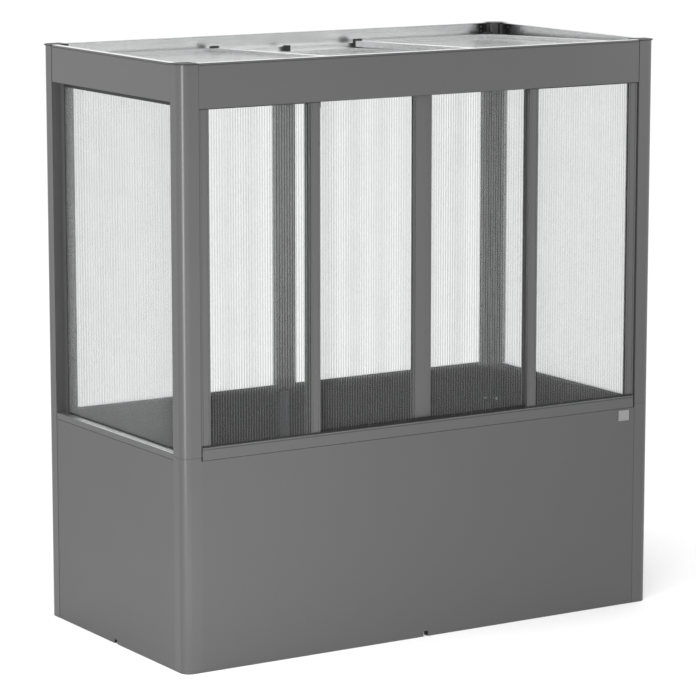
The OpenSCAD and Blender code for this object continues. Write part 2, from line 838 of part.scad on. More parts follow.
back_sheet(-1);  // back_left_sheet
back_sheet(1);  // back_right_sheet
channels();  // glazing_channels
roof_rail(-1);  // roof_front_rail
roof_rail(1);  // roof_back_rail
stops();  // track_stops
stiles(0);  // door_1_stiles
rails(0);  // door_1_rails
door_sheet(0);  // door_1_sheet
gliders(0);  // door_1_gliders
door_2_stiles();
rails(1);  // door_2_rails
door_sheet(1);  // door_2_sheet
gliders(1);  // door_2_gliders
stiles(2);  // door_3_stiles
rails(2);  // door_3_rails
door_sheet(2);  // door_3_sheet
gliders(2);  // door_3_gliders
stiles(3);  // door_4_stiles
rails(3);  // door_4_rails
door_sheet(3);  // door_4_sheet
gliders(3);  // door_4_gliders
roof_bars(0);  // roof_left_frame
roof_sheet(0);  // roof_left_sheet
roof_caps(0);  // roof_left_caps
roof_bars(1);  // roof_middle_frame
roof_sheet(1);  // roof_middle_sheet
roof_caps(1);  // roof_middle_caps
roof_bars(2);  // roof_right_frame
roof_sheet(2);  // roof_right_sheet
roof_caps(2);  // roof_right_caps
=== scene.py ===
"""Looks of a glazed cold frame: a tall metal planter under a glazed box with sliding doors
and a sliding roof. Lengths are in metres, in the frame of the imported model."""
import json
import logging
import math
from dataclasses import dataclass
from enum import Enum

import bmesh
import bpy
from mathutils import Euler, Matrix, Vector


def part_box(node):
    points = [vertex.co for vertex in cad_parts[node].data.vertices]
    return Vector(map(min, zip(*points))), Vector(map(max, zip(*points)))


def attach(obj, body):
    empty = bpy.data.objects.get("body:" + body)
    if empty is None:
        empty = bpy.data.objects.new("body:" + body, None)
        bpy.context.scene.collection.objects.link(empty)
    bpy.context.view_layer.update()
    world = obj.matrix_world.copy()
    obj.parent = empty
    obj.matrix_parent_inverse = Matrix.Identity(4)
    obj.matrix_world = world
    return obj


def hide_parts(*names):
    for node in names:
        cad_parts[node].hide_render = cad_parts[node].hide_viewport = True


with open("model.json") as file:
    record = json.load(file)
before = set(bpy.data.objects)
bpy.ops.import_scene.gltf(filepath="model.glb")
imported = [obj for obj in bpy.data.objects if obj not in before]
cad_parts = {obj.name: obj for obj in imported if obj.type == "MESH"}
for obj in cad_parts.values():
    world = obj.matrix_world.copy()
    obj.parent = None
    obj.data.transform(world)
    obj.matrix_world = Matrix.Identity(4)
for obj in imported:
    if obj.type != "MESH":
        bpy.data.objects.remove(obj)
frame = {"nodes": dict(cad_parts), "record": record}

LOG = logging.getLogger("cold_frame")
Loop = list[tuple[float, float]]


class Slot(Enum):
    """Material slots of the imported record."""

    COATED_SHEET = "coated_sheet"
    COATED_ALUMINIUM = "coated_aluminium"
    MILL_ALUMINIUM = "mill_aluminium"
    TWINWALL = "twinwall"
    BLACK_PLASTIC = "black_plastic"
    STEEL_FASTENERS = "steel_fasteners"
    GALVANISED_STEEL = "galvanised_steel"
    BADGE_METAL = "badge_metal"


class Grain(Enum):
    """Direction in which a metal was drawn or rolled, as the stretch of its texture."""

    ALONG_X = (1.0, 60.0, 60.0)
    ALONG_Z = (60.0, 60.0, 1.0)


# ---- node trees ----


class Graph:
    """A node tree under construction."""

    def __init__(self, tree: bpy.types.NodeTree) -> None:
        """Keeps the tree that the nodes go into."""
        self.tree = tree

    def add(self, kind: str, inputs: dict | None = None, **settings) -> bpy.types.Node:
        """Adds one node.

        Args:
            kind: The node's type name.
            inputs: Socket name or number to a value, or to another node's output.
            settings: The node's own options.

        Returns:
            The new node.
        """
        node = self.tree.nodes.new(kind)
        for key, value in settings.items():
            setattr(node, key, value)
        for key, value in (inputs or {}).items():
            socket = node.inputs[key]
            if isinstance(value, bpy.types.NodeSocket):
                self.tree.links.new(value, socket)
            else:
                socket.default_value = value
        return node

    def math(self, operation: str, *values) -> bpy.types.NodeSocket:
        """Adds a Math node and returns its output."""
        node = self.add("ShaderNodeMath", dict(enumerate(values)), operation=operation)
        return node.outputs[0]

    def place(self) -> bpy.types.NodeSocket:
        """The place on the piece, in metres."""
        return self.add("ShaderNodeTexCoord").outputs["Object"]

    def noise(self, place: bpy.types.NodeSocket, scale: float, detail: float) -> bpy.types.NodeSocket:
        """A noise texture's value at a place, from 0 to 1."""
        node = self.add("ShaderNodeTexNoise", {"Vector": place, "Scale": scale, "Detail": detail})
        return node.outputs["Fac"]

    def vector(self, **parts) -> bpy.types.NodeSocket:
        """A vector put together from its named parts."""
        return self.add("ShaderNodeCombineXYZ", parts).outputs[0]


def declare(tree: bpy.types.NodeTree, way: str, kind: str, *names: str, **values: float) -> None:
    """Adds sockets of one kind to a node group.

    Args:
        tree: The node group.
        way: INPUT or OUTPUT.
        kind: The end of the socket type's name, such as Float.
        names: Names of sockets without a default value.
        values: Names of sockets and their default values.
    """
    for name in (*names, *values):
        socket = tree.interface.new_socket(name, in_out=way, socket_type=f"NodeSocket{kind}")
        if name in values:
            socket.default_value = values[name]


def new_group(
        name: str, inputs: dict[str, float], outputs: list[str]) -> tuple[Graph, dict, bpy.types.Node]:
    """Starts a shader node group.

    Args:
        name: The group's name.
        inputs: Input names and their default values.
        outputs: Names of the values that the group puts out.

    Returns:
        The graph, its input sockets by name, and its output node.
    """
    tree = bpy.data.node_groups.new(name, "ShaderNodeTree")
    declare(tree, "INPUT", "Float", **inputs)
    declare(tree, "OUTPUT", "Float", *outputs)
    graph = Graph(tree)
    entry = graph.add("NodeGroupInput")
    return graph, {key: entry.outputs[key] for key in inputs}, graph.add("NodeGroupOutput")


def coating_group() -> bpy.types.NodeTree:
    """Powder coat: fine flakes, soft clouds and a faint orange peel."""
    graph, given, out = new_group(
        "powder_coat", {"Flake": 0.1, "Cloud": 0.05, "Peel": 0.3}, ["Tone", "Roughness", "Height"])
    place = graph.place()
    spread = graph.math("SUBTRACT", graph.noise(place, 1400.0, 1.0), 0.5)
    drift = graph.math("SUBTRACT", graph.noise(place, 3.2, 4.0), 0.5)
    tone = graph.math("MULTIPLY_ADD", spread, given["Flake"], 1.0)
    tone = graph.math("MULTIPLY_ADD", drift, given["Cloud"], tone)
    graph.tree.links.new(tone, out.inputs["Tone"])
    graph.tree.links.new(graph.math("MULTIPLY_ADD", drift, 0.12, 0.0), out.inputs["Roughness"])
    height = graph.math("MULTIPLY", graph.noise(place, 420.0, 2.0), given["Peel"])
    graph.tree.links.new(height, out.inputs["Height"])
    return graph.tree


def drawn_group() -> bpy.types.NodeTree:
    """Die lines along an extrusion or a rolled sheet, on a vector stretched outside."""
    tree = bpy.data.node_groups.new("drawn_lines", "ShaderNodeTree")
    declare(tree, "INPUT", "Vector", "Vector")
    declare(tree, "OUTPUT", "Float", "Tone", "Height")
    graph = Graph(tree)
    entry = graph.add("NodeGroupInput")
    out = graph.add("NodeGroupOutput")
    lines = graph.noise(entry.outputs["Vector"], 9.0, 6.0)
    tone = graph.math("MULTIPLY_ADD", graph.math("SUBTRACT", lines, 0.5), 0.35, 1.0)
    tree.links.new(tone, out.inputs["Tone"])
    tree.links.new(lines, out.inputs["Height"])
    return tree


def dust_group() -> bpy.types.NodeTree:
    """A mask of the faint dust that settles on faces that look up, and near the ground."""
    graph, given, out = new_group("settled_dust", {"Amount": 0.2}, ["Mask"])
    normal = graph.add("ShaderNodeSeparateXYZ", {0: graph.add("ShaderNodeNewGeometry").outputs["Normal"]})
    place = graph.place()
    height = graph.add("ShaderNodeSeparateXYZ", {0: place})
    upward = graph.math("MAXIMUM", normal.outputs["Z"], 0.0)
    low = graph.add("ShaderNodeMapRange", {"Value": height.outputs["Z"], 1: 0.0, 2: 0.12, 3: 0.5, 4: 0.0})
    both = graph.math("MAXIMUM", upward, low.outputs[0])
    patchy = graph.math("MULTIPLY", both, graph.noise(place, 38.0, 5.0))
    mask = graph.math("MULTIPLY", patchy, given["Amount"])
    graph.tree.links.new(mask, out.inputs["Mask"])
    return graph.tree


@dataclass(frozen=True)
class Effects:
    """The shader groups that several finishes share."""

    coat: bpy.types.NodeTree
    drawn: bpy.types.NodeTree
    dust: bpy.types.NodeTree


EFFECTS = Effects(coating_group(), drawn_group(), dust_group())


# ---- finishes ----


@dataclass(frozen=True)
class Finish:
    """What every finish has: a name, a colour and its record slot."""

    name: str
    slot: Slot
    color: tuple[float, float, float]
    roughness: float = 0.5

    def start(self) -> tuple[Graph, bpy.types.Node, bpy.types.Material]:
        """Makes an empty material.

        Returns:
            Its graph, its Principled BSDF and the material.
        """
        material = bpy.data.materials.new(self.name)
        material.use_nodes = True
        graph = Graph(material.node_tree)
        shader = material.node_tree.nodes["Principled BSDF"]
        shader.inputs["Base Color"].default_value = (*self.color, 1.0)
        shader.inputs["Roughness"].default_value = self.roughness
        return graph, shader, material

    def shade(self, graph: Graph, tone: bpy.types.NodeSocket, shader: bpy.types.Node) -> None:
        """Multiplies the colour by a tone.

        Args:
            graph: The material's graph.
            tone: The factor that changes over the surface.
            shader: The Principled BSDF.
        """
        scaled = graph.add("ShaderNodeVectorMath", {0: self.color, "Scale": tone}, operation="SCALE")
        graph.tree.links.new(scaled.outputs[0], shader.inputs["Base Color"])

    def raise_up(
            self, graph: Graph, height: bpy.types.NodeSocket, depth: float, shader: bpy.types.Node) -> None:
        """Bumps the surface.

        Args:
            graph: The material's graph.
            height: The height map, from 0 to 1.
            depth: What 1 stands for, in metres.
            shader: The Principled BSDF.
        """
        bump = graph.add("ShaderNodeBump", {"Height": height, "Distance": depth, "Strength": 1.0})
        graph.tree.links.new(bump.outputs["Normal"], shader.inputs["Normal"])

    def build(self) -> bpy.types.Material:
        """Builds the material."""
        raise NotImplementedError


@dataclass(frozen=True)
class CoatedMetal(Finish):
    """Metallic powder coat over folded sheet or extruded aluminium."""

    metallic: float = 0.4
    dust: float = 0.1

    def build(self) -> bpy.types.Material:
        """Builds the material."""
        graph, shader, material = self.start()
        coat = graph.add("ShaderNodeGroup", node_tree=EFFECTS.coat)
        coat.inputs["Flake"].default_value = 0.16
        coat.inputs["Cloud"].default_value = 0.05
        dust = graph.add("ShaderNodeGroup", {"Amount": self.dust}, node_tree=EFFECTS.dust)
        tone = graph.math("ADD", coat.outputs["Tone"], dust.outputs["Mask"])
        self.shade(graph, tone, shader)
        rough = graph.math("ADD", coat.outputs["Roughness"], self.roughness)
        rough = graph.math("ADD", rough, dust.outputs["Mask"])
        graph.tree.links.new(rough, shader.inputs["Roughness"])
        shader.inputs["Metallic"].default_value = self.metallic
        self.raise_up(graph, coat.outputs["Height"], 0.00004, shader)
        return material


@dataclass(frozen=True)
class DrawnMetal(Finish):
    """Bare metal with die lines along its length."""

    grain: Grain = Grain.ALONG_X
    metallic: float = 1.0
    depth: float = 0.000004

    def build(self) -> bpy.types.Material:
        """Builds the material."""
        graph, shader, material = self.start()
        stretched = graph.add("ShaderNodeMapping", {"Vector": graph.place(), "Scale": self.grain.value})
        lines = graph.add("ShaderNodeGroup", {"Vector": stretched.outputs[0]}, node_tree=EFFECTS.drawn)
        dust = graph.add("ShaderNodeGroup", {"Amount": 0.15}, node_tree=EFFECTS.dust)
        self.shade(graph, lines.outputs["Tone"], shader)
        rough = graph.math("ADD", dust.outputs["Mask"], self.roughness)
        graph.tree.links.new(rough, shader.inputs["Roughness"])
        shader.inputs["Metallic"].default_value = self.metallic
        self.raise_up(graph, lines.outputs["Height"], self.depth, shader)
        return material


@dataclass(frozen=True)
class MouldedPlastic(Finish):
    """Moulded plastic or rubber with a fine spark-eroded texture."""

    def build(self) -> bpy.types.Material:
        """Builds the material."""
        graph, shader, material = self.start()
        skin = graph.noise(graph.place(), 1800.0, 2.0)
        dust = graph.add("ShaderNodeGroup", {"Amount": 0.5}, node_tree=EFFECTS.dust)
        self.shade(graph, graph.math("ADD", dust.outputs["Mask"], 1.0), shader)
        self.raise_up(graph, skin, 0.00006, shader)
        return material


@dataclass(frozen=True)
class ClearGlazing(Finish):
    """Clear extruded plastic. Shadow rays pass, so that light reaches the bed."""

    transmission: float = 1.0
    refraction: float = 1.06
    shadow_pass: float = 0.92

    def build(self) -> bpy.types.Material:
        """Builds the material."""
        graph, shader, material = self.start()
        shader.inputs["IOR"].default_value = self.refraction
        shader.inputs["Transmission Weight"].default_value = self.transmission
        haze = graph.noise(graph.place(), 9.0, 4.0)
        self.shade(graph, graph.math("MULTIPLY_ADD", haze, 0.02, 0.98), shader)
        shadow = graph.add("ShaderNodeLightPath").outputs["Is Shadow Ray"]
        alpha = graph.math("MULTIPLY_ADD", shadow, -self.shadow_pass, 1.0)
        graph.tree.links.new(alpha, shader.inputs["Alpha"])
        return material


@dataclass(frozen=True)
class MilkyGlazing(Finish):
    """Dusty plastic overhead: see-through face on, glossy and milky at a slant."""

    face_on: float = 0.036
    edge_on: float = 0.62
    slant_power: float = 4.0

    def build(self) -> bpy.types.Material:
        """Builds the material."""
        graph, shader, material = self.start()
        shader.inputs["IOR"].default_value = 1.58
        haze = graph.noise(graph.place(), 30.0, 4.0)
        self.shade(graph, graph.math("MULTIPLY_ADD", haze, 0.1, 0.95), shader)
        rough = graph.math("MULTIPLY_ADD", haze, 0.06, self.roughness)
        graph.tree.links.new(rough, shader.inputs["Roughness"])
        slant = graph.add("ShaderNodeLayerWeight", {"Blend": 0.5}).outputs["Facing"]
        rise = graph.math("POWER", slant, self.slant_power)
        alpha = graph.math("MULTIPLY_ADD", rise, self.edge_on, self.face_on)
        dust = graph.add("ShaderNodeGroup", {"Amount": 0.04}, node_tree=EFFECTS.dust)
        alpha = graph.math("ADD", alpha, dust.outputs["Mask"])
        graph.tree.links.new(alpha, shader.inputs["Alpha"])
        return material


@dataclass(frozen=True)
class PaleFloor(Finish):
    """The studio's matt floor."""

    def build(self) -> bpy.types.Material:
        """Builds the material."""
        graph, shader, material = self.start()
        mottle = graph.noise(graph.place(), 2.0, 4.0)
        self.shade(graph, graph.math("MULTIPLY_ADD", mottle, 0.01, 0.995), shader)
        return material


class Palette:
    """Every finish of the cold frame, built once."""

    def __init__(self) -> None:
        """Builds the materials."""
        self.finishes: dict[str, Finish] = {
            finish.name: finish for finish in (
                CoatedMetal("grey_coat_sheet", Slot.COATED_SHEET, (0.075, 0.075, 0.075), 0.42),
                CoatedMetal("grey_coat_profile", Slot.COATED_ALUMINIUM, (0.078, 0.078, 0.078), 0.32),
                DrawnMetal("mill_finish", Slot.MILL_ALUMINIUM, (0.8, 0.81, 0.81), 0.26),
                ClearGlazing("clear_sheet", Slot.TWINWALL, (0.962, 0.964, 0.964), 0.0),
                ClearGlazing("clear_rib", Slot.TWINWALL, (0.88, 0.885, 0.885), 0.1, 0.92),
                MilkyGlazing("roof_sheet", Slot.TWINWALL, (0.42, 0.425, 0.425), 0.1),
                MilkyGlazing("roof_rib", Slot.TWINWALL, (0.74, 0.75, 0.75), 0.2, 0.13, 0.3),
                MouldedPlastic("black_moulding", Slot.BLACK_PLASTIC, (0.018, 0.018, 0.018), 0.55),
                # black rubber of the gaskets and brushes, also used as painted shade on the grooves' sides
                MouldedPlastic("black_rubber_and_shade", Slot.BLACK_PLASTIC, (0.012, 0.012, 0.013), 0.62),
                DrawnMetal("zinc_plate", Slot.STEEL_FASTENERS, (0.55, 0.56, 0.57), 0.3, Grain.ALONG_Z),
                DrawnMetal("galvanised", Slot.GALVANISED_STEEL, (0.22, 0.23, 0.235), 0.6, Grain.ALONG_Z),
                DrawnMetal("badge_satin", Slot.BADGE_METAL, (0.3, 0.3, 0.3), 0.35),
            )
        }
        self.materials = {name: finish.build() for name, finish in self.finishes.items()}

    def dress(self, piece: bpy.types.Object, name: str) -> None:
        """Gives a piece one finish, as its first material.

        Args:
            piece: The mesh object.
            name: The finish.
        """
        slots = piece.data.materials
        if len(slots):
            slots[0] = self.materials[name]
        else:
            slots.append(self.materials[name])


# ---- meshes ----


def body_of(node: str) -> str:
    """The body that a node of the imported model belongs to."""
    bodies = frame["record"]["behaviour"]["bodies"]
    return next(body for body, nodes in bodies.items() if node in nodes)


def mesh_piece(name: str, mesh: bpy.types.Mesh) -> bpy.types.Object:
    """Puts a mesh into the scene as an object at the origin."""
    piece = bpy.data.objects.new(name, mesh)
    bpy.context.scene.collection.objects.link(piece)
    return piece


def evaluated_mesh(piece: bpy.types.Object) -> bpy.types.Mesh:
    """The mesh of a piece with its modifiers applied."""
    graph = bpy.context.evaluated_depsgraph_get()
    return bpy.data.meshes.new_from_object(piece.evaluated_get(graph))


def flatten_faces(piece: bpy.types.Object) -> None:
    """Shades large flat faces flat and leaves their rounded edges smooth."""
    weighted = piece.modifiers.new("normals", "WEIGHTED_NORMAL")
    weighted.mode = "FACE_AREA"
    weighted.weight = 100
    weighted.keep_sharp = True
    plain = evaluated_mesh(piece)
    piece.modifiers.clear()
    piece.data = plain


def arc(centre: tuple[float, float], radius: float, start: float, end: float, steps: int) -> Loop:
    """Points along an arc.

    Args:
        centre: The arc's centre.
        radius: The arc's radius.
        start: The first angle, in degrees.
        end: The last angle, in degrees.
        steps: How many chords it has.

    Returns:
        The points, both ends included.
    """
    angles = [math.radians(start + (end - start) * i / steps) for i in range(steps + 1)]
    return [(centre[0] + radius * math.cos(a), centre[1] + radius * math.sin(a)) for a in angles]


def shrink(loop: Loop, by: float) -> Loop:
    """Moves a counterclockwise outline inwards by a small distance."""
    inner = []
    for i, (x, y) in enumerate(loop):
        before, after = Vector(loop[i - 1]), Vector(loop[(i + 1) % len(loop)])
        here = Vector((x, y))
        a, b = (here - before).normalized(), (after - here).normalized()
        normal = Vector((-a.y - b.y, a.x + b.x))
        scale = 2.0 * by / max(normal.length_squared, 0.5)
        inner.append(tuple(here + normal * scale))
    return inner


def prism(outline: Loop, hollows: list[Loop], low: float, high: float, soft: float) -> bmesh.types.BMesh:
    """An upright prism with softened ends.

    Args:
        outline: The outer outline, counterclockwise.
        hollows: Outlines of what is open inside.
        low: Height of its lower end.
        high: Height of its upper end.
        soft: Size of the chamfer round both ends.

    Returns:
        The closed mesh.
    """
    mesh = bmesh.new()
    levels = [(shrink(outline, soft), low), (outline, low + soft), (outline, high - soft),
              (shrink(outline, soft), high)]
    rings = [[[mesh.verts.new((x, y, z)) for x, y in loop] for loop, z in levels]]
    rings += [[[mesh.verts.new((x, y, z)) for x, y in loop] for z in (low, high)] for loop in hollows]
    for stack in rings:
        for lower, upper in zip(stack, stack[1:]):
            for i in range(len(lower)):
                mesh.faces.new((lower[i - 1], lower[i], upper[i], upper[i - 1]))
    for end in (0, -1):
        edges = []
        for stack in rings:
            ring = stack[end]
            edges += [mesh.edges.get((ring[i - 1], ring[i])) for i in range(len(ring))]
        bmesh.ops.triangle_fill(mesh, edges=edges, use_beauty=True)
    bmesh.ops.recalc_face_normals(mesh, faces=mesh.faces)
    return mesh


def finish_mesh(mesh: bmesh.types.BMesh, name: str, smooth_below: float = 30.0) -> bpy.types.Mesh:
    """Turns mesh code's result into a mesh.

    Args:
        mesh: The work mesh, which is freed.
        name: The mesh's name.
        smooth_below: Edges under this angle, in degrees, are shaded smooth.

    Returns:
        The mesh.
    """
    limit = math.radians(smooth_below)
    for face in mesh.faces:
        face.smooth = True
    for edge in mesh.edges:
        edge.smooth = len(edge.link_faces) == 2 and edge.calc_face_angle(math.pi) < limit
    data = bpy.data.meshes.new(name)
    mesh.to_mesh(data)
    mesh.free()
    return data


# ---- sub-assemblies ----


@dataclass(frozen=True)
class Zone:
    """Faces that look one of these ways and get a lighter finish of their own: partly bare metal, partly
    painted highlight on faces that look up.
    """

    finish: str
    ways: tuple[tuple[float, float, float], ...]
    reach: float = 0.8


@dataclass(frozen=True)
class Reveal:
    """A narrow joint: the side of a piece that stands back from its neighbour."""

    axis: int
    side: int
    gap: float = 0.0012


@dataclass(frozen=True)
class Groove:
    """A V groove across one face of an extrusion, its sides painted black as painted shade."""

    outward: tuple[float, float, float]
    across: tuple[float, float, float]
    at: float
    width: float = 0.0016
    depth: float = 0.0014


@dataclass
class Joinery:
    """What the sub-assemblies share: soft edges, joints, grooves whose black sides are painted shade, and
    finishes by side, lighter on some faces as partly painted highlight.
    """

    palette: Palette
    merge_distance: float = 0.00001
    flat_angle: float = math.radians(0.5)
    bevel_angle: float = math.radians(35)

    def bevelled(self, node: str, radius: float, reveals: list[Reveal]) -> bpy.types.Mesh:
        """Copies a node's mesh, opens its joints and rounds its edges.

        Args:
            node: The node's name.
            radius: The edge radius.
            reveals: Sides that stand back.

        Returns:
            The rounded mesh.
        """
        mesh = bmesh.new()
        mesh.from_mesh(frame["nodes"][node].data)
        bmesh.ops.remove_doubles(mesh, verts=mesh.verts, dist=self.merge_distance)
        bmesh.ops.dissolve_limit(mesh, angle_limit=self.flat_angle, verts=mesh.verts, edges=mesh.edges)
        low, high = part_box(node)
        for reveal in reveals:
            end = (high if reveal.side > 0 else low)[reveal.axis]
            for vertex in mesh.verts:
                if abs(vertex.co[reveal.axis] - end) < self.merge_distance:
                    vertex.co[reveal.axis] -= reveal.side * reveal.gap
        piece = mesh_piece(f"{node}_soft", finish_mesh(mesh, node))
        bevel = piece.modifiers.new("edges", "BEVEL")
        bevel.width = radius
        bevel.segments = 2
        bevel.limit_method = "ANGLE"
        bevel.angle_limit = self.bevel_angle
        plain = evaluated_mesh(piece)
        bpy.data.objects.remove(piece)
        return plain

    def cut(self, mesh: bmesh.types.BMesh, groove: Groove, plane: float) -> None:
        """Cuts a groove and paints its sides black as painted shade.

        Args:
            mesh: The work mesh.
            groove: The groove.
            plane: Where the grooved face lies along the way it looks.
        """
        outward, across = Vector(groove.outward), Vector(groove.across)
        for step in (-0.5, 0.5, 0.0):
            everything = [*mesh.verts, *mesh.edges, *mesh.faces]
            bmesh.ops.bisect_plane(mesh, geom=everything, plane_no=across,
                                   plane_co=across * (groove.at + step * groove.width))
        for vertex in mesh.verts:
            on_face = abs(vertex.co.dot(outward) - plane) < self.merge_distance
            if on_face and abs(vertex.co.dot(across) - groove.at) < self.merge_distance:
                vertex.co -= outward * groove.depth
                for face in vertex.link_faces:
                    face.normal_update()
                    if 0.2 < face.normal.dot(outward) < 0.95:
                        # the groove's sides take material 2, the black rubber, as painted shade in the groove
                        face.material_index = 2

    def piece(self, node: str, finish: str, radius: float = 0.0006, reveals: list[Reveal] | None = None,
              zone: Zone | None = None, grooves: list[Groove] | None = None) -> bpy.types.Object:
        """Makes the detailed piece that stands for a node.

        Args:
            node: The node's name.
            finish: Its finish.
            radius: The radius of its edges.
            reveals: Sides that stand back from a neighbour.
            zone: Faces with a lighter finish of their own, partly painted highlight.
            grooves: Grooves, whose sides are painted black as painted shade.

        Returns:
            The piece.
        """
        plain = self.bevelled(node, radius, reveals or [])
        mesh = bmesh.new()
        mesh.from_mesh(plain)
        bpy.data.meshes.remove(plain)
        for face in mesh.faces:
            # faces that look the zone's ways get the lighter finish: partly bare metal, partly painted
            # highlight
            if zone and any(face.normal.dot(Vector(way)) > zone.reach for way in zone.ways):
                face.material_index = 1
        low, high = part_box(node)
        for groove in grooves or []:
            outward = Vector(groove.outward)
            self.cut(mesh, groove, max(low.dot(outward), high.dot(outward)))
        piece = mesh_piece(f"{node}_soft", finish_mesh(mesh, node, 50.0))
        # slot 2 is the black rubber that paints the grooves' shade
        names = (finish, zone.finish if zone else finish, "black_rubber_and_shade")
        for name in names if zone or grooves else (finish,):
            piece.data.materials.append(self.palette.materials[name])
        flatten_faces(piece)
        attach(piece, body_of(node))
        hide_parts(node)
        self.palette.dress(piece, finish)
        return piece


UP = (0.0, 0.0, 1.0)
INWARD = {
    "front": (0.0, 1.0, 0.0),
    "back": (0.0, -1.0, 0.0),
    "left": (1.0, 0.0, 0.0),
    "right": (-1.0, 0.0, 0.0),
}


def outward_of(wall: str) -> tuple[float, float, float]:
    """The way the outside of a wall looks."""
    return tuple(-part for part in INWARD[wall])


@dataclass
class PlanterBase(Joinery):
    """The planter: four folded panels, the spreader across it and the badge plate."""

    fold_radius: float = 0.0022
    tube_radius: float = 0.001
    badge_rim: float = 0.0022
    badge_sunk: float = 0.0004
    badge_corner: float = 0.003

    def badge(self) -> bpy.types.Object:
        """Makes the blank badge plate with its raised rim."""
        low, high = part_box("badge_plate")
        mesh = bmesh.new()
        bmesh.ops.create_cube(mesh, size=1.0)
        size, centre = high - low, (low + high) / 2
        bmesh.ops.scale(mesh, vec=size, verts=mesh.verts)
        bmesh.ops.translate(mesh, vec=centre, verts=mesh.verts)
        front = min(mesh.faces, key=lambda face: face.calc_center_median().y)
        corners = []
        for edge in mesh.edges:
            along = (edge.verts[0].co - edge.verts[1].co).normalized()
            if abs(along.y) > 0.9:
                corners.append(edge)
        bmesh.ops.inset_region(mesh, faces=[front], thickness=self.badge_rim, depth=0.0)
        bmesh.ops.inset_region(mesh, faces=[front], thickness=self.badge_sunk, depth=-self.badge_sunk)
        bmesh.ops.bevel(mesh, geom=corners, offset=self.badge_corner, segments=4, affect="EDGES", profile=0.5)
        piece = mesh_piece("badge_plate_rimmed", finish_mesh(mesh, "badge_plate"))
        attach(piece, body_of("badge_plate"))
        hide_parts("badge_plate")
        self.palette.dress(piece, "badge_satin")
        return piece

    def build(self) -> list[bpy.types.Object]:
        """Makes the planter's pieces."""
        pieces = [self.piece(f"base_{wall}_panel", "grey_coat_sheet", self.fold_radius) for wall in INWARD]
        pieces.append(self.piece("base_spreader", "galvanised", self.tube_radius))
        pieces.append(self.badge())
        return pieces


@dataclass
class Walls(Joinery):
    """Sills, fascias, mullion, glazing channels, head track and corner brackets."""

    edge_radius: float = 0.0007
    lip_line: float = 0.0065
    rim_line: float = 0.0075
    ledge_lines: tuple[float, float, float] = (0.010, 0.018, 0.026)
    end_gap: float = 0.0016

    def along(self, wall: str) -> int:
        """The axis that a wall runs along."""
        return 0 if wall in ("front", "back") else 1

    def fascia(self, wall: str) -> bpy.types.Object:
        """Makes one fascia: coated outside, with the lighter bare finish inside and on its rim, where it is
        partly painted highlight.
        """
        axis = self.along(wall)
        node = f"{wall}_fascia"
        low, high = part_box(node)
        reveals = [Reveal(axis, side, self.end_gap) for side in (-1, 1)]
        line = Groove(outward_of(wall), UP, high.z - self.rim_line)
        # the rim and inner faces get the lighter bare finish, partly painted highlight on the rim
        return self.piece(node, "grey_coat_profile", self.edge_radius, reveals,
                          Zone("mill_finish", (UP, INWARD[wall])), [line])

    def sill(self, wall: str) -> bpy.types.Object:
        """Makes one sill, whose up faces get the lighter bare finish, partly painted highlight."""
        axis = self.along(wall)
        node = f"{wall}_sill"
        low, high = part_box(node)
        reveals = [Reveal(2, -1), *(Reveal(axis, side, self.end_gap) for side in (-1, 1))]
        lines = [Groove(outward_of(wall), UP, high.z - self.lip_line)]
        if wall != "front":
            outward = Vector(outward_of(wall))
            outer = max(low.dot(outward), high.dot(outward))
            lines = [Groove(UP, tuple(outward), outer - line) for line in self.ledge_lines]
        # the up faces get the light bare finish, partly painted highlight from above
        zone = Zone("mill_finish", (UP,))
        return self.piece(node, "grey_coat_profile", self.edge_radius, reveals, zone, lines)

    def build(self) -> list[bpy.types.Object]:
        """Makes the walls' pieces."""
        pieces = [self.fascia(wall) for wall in INWARD]
        pieces += [self.sill(wall) for wall in INWARD]
        pieces += [self.piece(node, "grey_coat_profile") for node in ("back_mullion", "glazing_channels")]
        pieces.append(self.piece("door_head_track", "mill_finish"))
        pieces.append(self.piece("corner_brackets", "black_moulding", 0.001))
        return pieces


@dataclass
class SlidingDoors(Joinery):
    """The four doors: stiles, rails, and the gliders that they run on."""

    stile_radius: float = 0.0008
    glider_radius: float = 0.0012

    def build(self) -> list[bpy.types.Object]:
        """Makes the doors' pieces, door by door."""
        pieces = []
        for door in range(1, 5):
            pieces.append(self.piece(f"door_{door}_stiles", "grey_coat_profile", self.stile_radius))
            pieces.append(self.piece(f"door_{door}_rails", "grey_coat_profile"))
            pieces.append(self.piece(f"door_{door}_gliders", "black_moulding", self.glider_radius))
        return pieces


@dataclass
class SlidingRoof(Joinery):
    """The three roof panels, the two rails that they run on, and the stops."""

    bar_radius: float = 0.0008
    cap_radius: float = 0.0018

    def build(self) -> list[bpy.types.Object]:
        """Makes the roof's pieces."""
        pieces = []
        for place in ("left", "middle", "right"):
            pieces.append(self.piece(f"roof_{place}_frame", "mill_finish", self.bar_radius))
            pieces.append(self.piece(f"roof_{place}_caps", "black_moulding", self.cap_radius))
        pieces += [self.piece(f"roof_{side}_rail", "mill_finish") for side in ("front", "back")]
        pieces.append(self.piece("track_stops", "black_moulding", 0.001))
        return pieces


